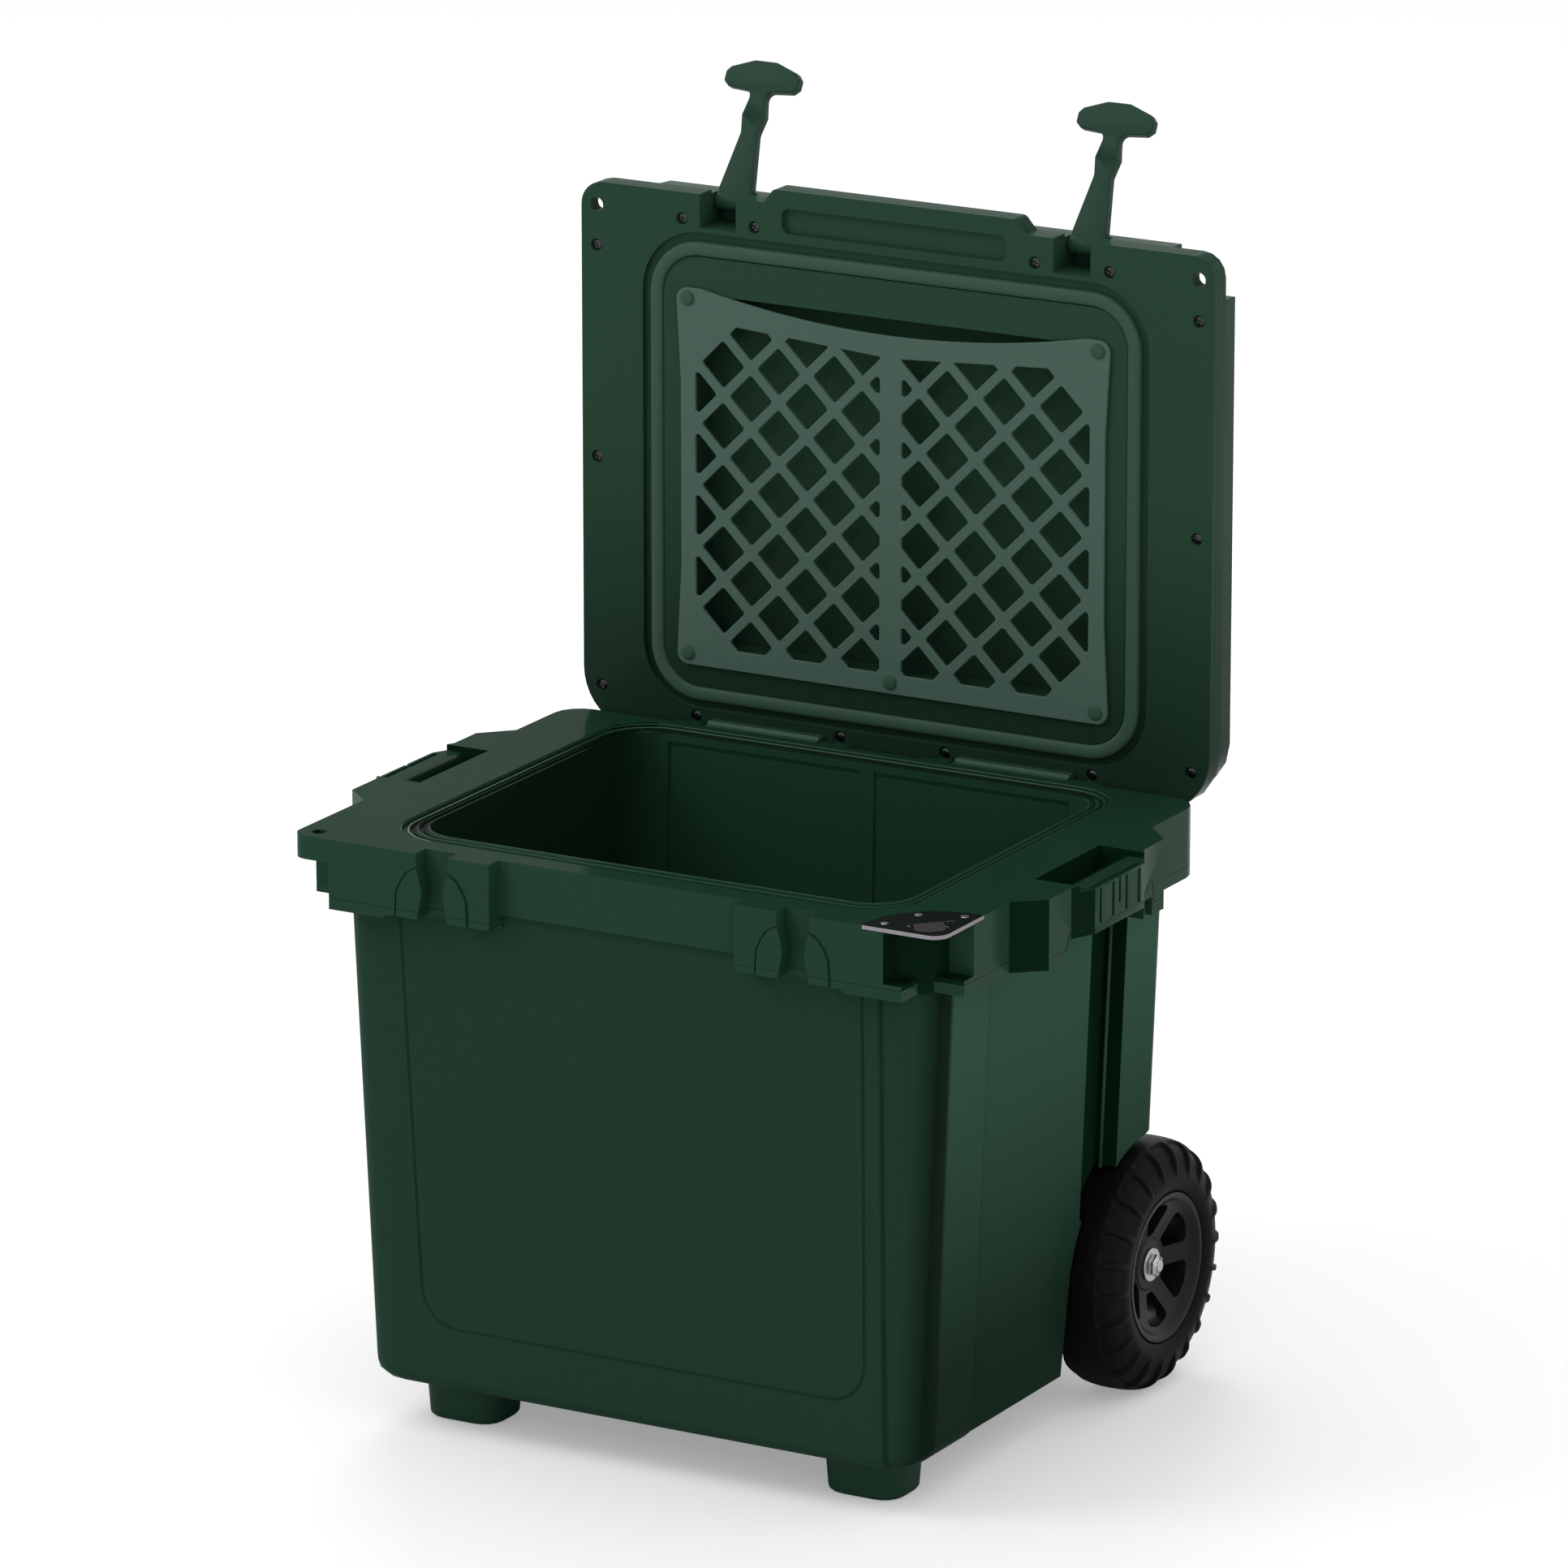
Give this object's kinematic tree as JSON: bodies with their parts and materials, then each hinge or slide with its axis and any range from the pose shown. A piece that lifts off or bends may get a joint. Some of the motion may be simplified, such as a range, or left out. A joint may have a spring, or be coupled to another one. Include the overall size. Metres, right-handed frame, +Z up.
{
  "type": "wheeled cooler",
  "caption": "Hard-sided wheeled cooler with a hinged gasketed lid, stretch latches, side grips, lid net, drain plug and telescoping pull handle, shown with its lid open.",
  "frame": {"origin": "middle of the footprint, on the ground", "axes": "+Z up, +Y from the latch side towards the hinge side and wheels, +X to the object's right seen from the latch side"},
  "size_m": [0.591, 0.49, 0.9337],
  "materials": {
    "green_shell": "gloss",
    "liner_green": "satin",
    "insulation": "matte",
    "foot_green": "satin",
    "rubber_green": "satin",
    "net_green": "matte",
    "bare_steel": "satin",
    "dark_steel": "satin",
    "plate_steel": "satin",
    "tyre_black": "matte",
    "black_plastic": "satin",
    "tube_metal": "satin",
    "button_grey": "satin"
  },
  "bodies": {
    "cooler_body": {"axle_left": "bare_steel", "axle_nut_left": "bare_steel", "axle_nut_right": "bare_steel", "axle_right": "bare_steel", "axle_washer_left": "bare_steel", "axle_washer_right": "bare_steel", "body_foam": "insulation", "collar_trim": "green_shell", "corner_plate": "plate_steel", "drain_fitting": "black_plastic", "foot_left": "foot_green", "foot_right": "foot_green", "handle_housing": "black_plastic", "hinge_rod_left": "bare_steel", "hinge_rod_right": "bare_steel", "inner_liner": "liner_green", "outer_shell": "green_shell", "plate_screw_1": "dark_steel", "plate_screw_2": "dark_steel", "plate_screw_3": "dark_steel", "top_collar": "green_shell"},
    "lid": {"lid_outer_shell": "green_shell", "lid_inner_panel": "green_shell", "lid_foam": "insulation", "lid_gasket": "rubber_green", "lid_grille": "net_green", "grille_button_1": "net_green", "grille_button_2": "net_green", "grille_button_3": "net_green", "grille_button_4": "net_green", "grille_button_5": "net_green", "lid_screw_01": "dark_steel", "lid_screw_02": "dark_steel", "lid_screw_03": "dark_steel", "lid_screw_04": "dark_steel", "lid_screw_05": "dark_steel", "lid_screw_06": "dark_steel", "lid_screw_07": "dark_steel", "lid_screw_08": "dark_steel", "lid_screw_09": "dark_steel", "lid_screw_10": "dark_steel", "lid_screw_11": "dark_steel", "lid_screw_12": "dark_steel", "lid_screw_13": "dark_steel", "lid_screw_14": "dark_steel", "latch_pin_left": "bare_steel", "latch_pin_right": "bare_steel"},
    "latch_left": {"latch_left": "rubber_green"},
    "latch_right": {"latch_right": "rubber_green"},
    "wheel_left": {"tyre_left": "tyre_black", "hub_left": "black_plastic"},
    "wheel_right": {"tyre_right": "tyre_black", "hub_right": "black_plastic"},
    "handle_middle": {"middle_tube_left": "tube_metal", "middle_tube_right": "tube_metal"},
    "handle_grip": {"grip_tube_left": "tube_metal", "grip_tube_right": "tube_metal", "pull_grip": "black_plastic"},
    "release_button": {"release_button": "button_grey"},
    "drain_plug": {"drain_plug": "black_plastic"}
  },
  "joints": [
    {"name": "lid_hinge", "type": "hinge", "parent": "cooler_body", "child": "lid", "pos_m": [0, 0.15779, 0.4395], "axis": [1, 0, 0], "range_deg": [0, 90]},
    {"name": "latch_left_pivot", "type": "hinge", "parent": "lid", "child": "latch_left", "pos_m": [-0.1467, 0.19079, 0.8368], "axis": [1, 0, 0], "range_deg": [0, 118]},
    {"name": "latch_right_pivot", "type": "hinge", "parent": "lid", "child": "latch_right", "pos_m": [0.1467, 0.19079, 0.8368], "axis": [1, 0, 0], "range_deg": [0, 118]},
    {"name": "wheel_left_spin", "type": "hinge", "parent": "cooler_body", "child": "wheel_left", "pos_m": [-0.221, 0.13299, 0.094], "axis": [1, 0, 0], "continuous": true},
    {"name": "wheel_right_spin", "type": "hinge", "parent": "cooler_body", "child": "wheel_right", "pos_m": [0.221, 0.13299, 0.094], "axis": [1, 0, 0], "continuous": true},
    {"name": "handle_middle_slide", "type": "slide", "parent": "cooler_body", "child": "handle_middle", "axis": [0, 0, 1], "range_m": [0, 0.24]},
    {"name": "handle_grip_slide", "type": "slide", "parent": "handle_middle", "child": "handle_grip", "axis": [0, 0, 1], "range_m": [0, 0.24]},
    {"name": "release_button_press", "type": "slide", "parent": "handle_grip", "child": "release_button", "axis": [0, 0, -1], "range_m": [0, 0.003], "stiffness_N_per_m": 300},
    {"name": "drain_plug_turn", "type": "hinge", "parent": "cooler_body", "child": "drain_plug", "pos_m": [-0.2241, -0.08601, 0.128], "axis": [-1, 0, 0], "range_deg": [0, 90]}
  ]
}
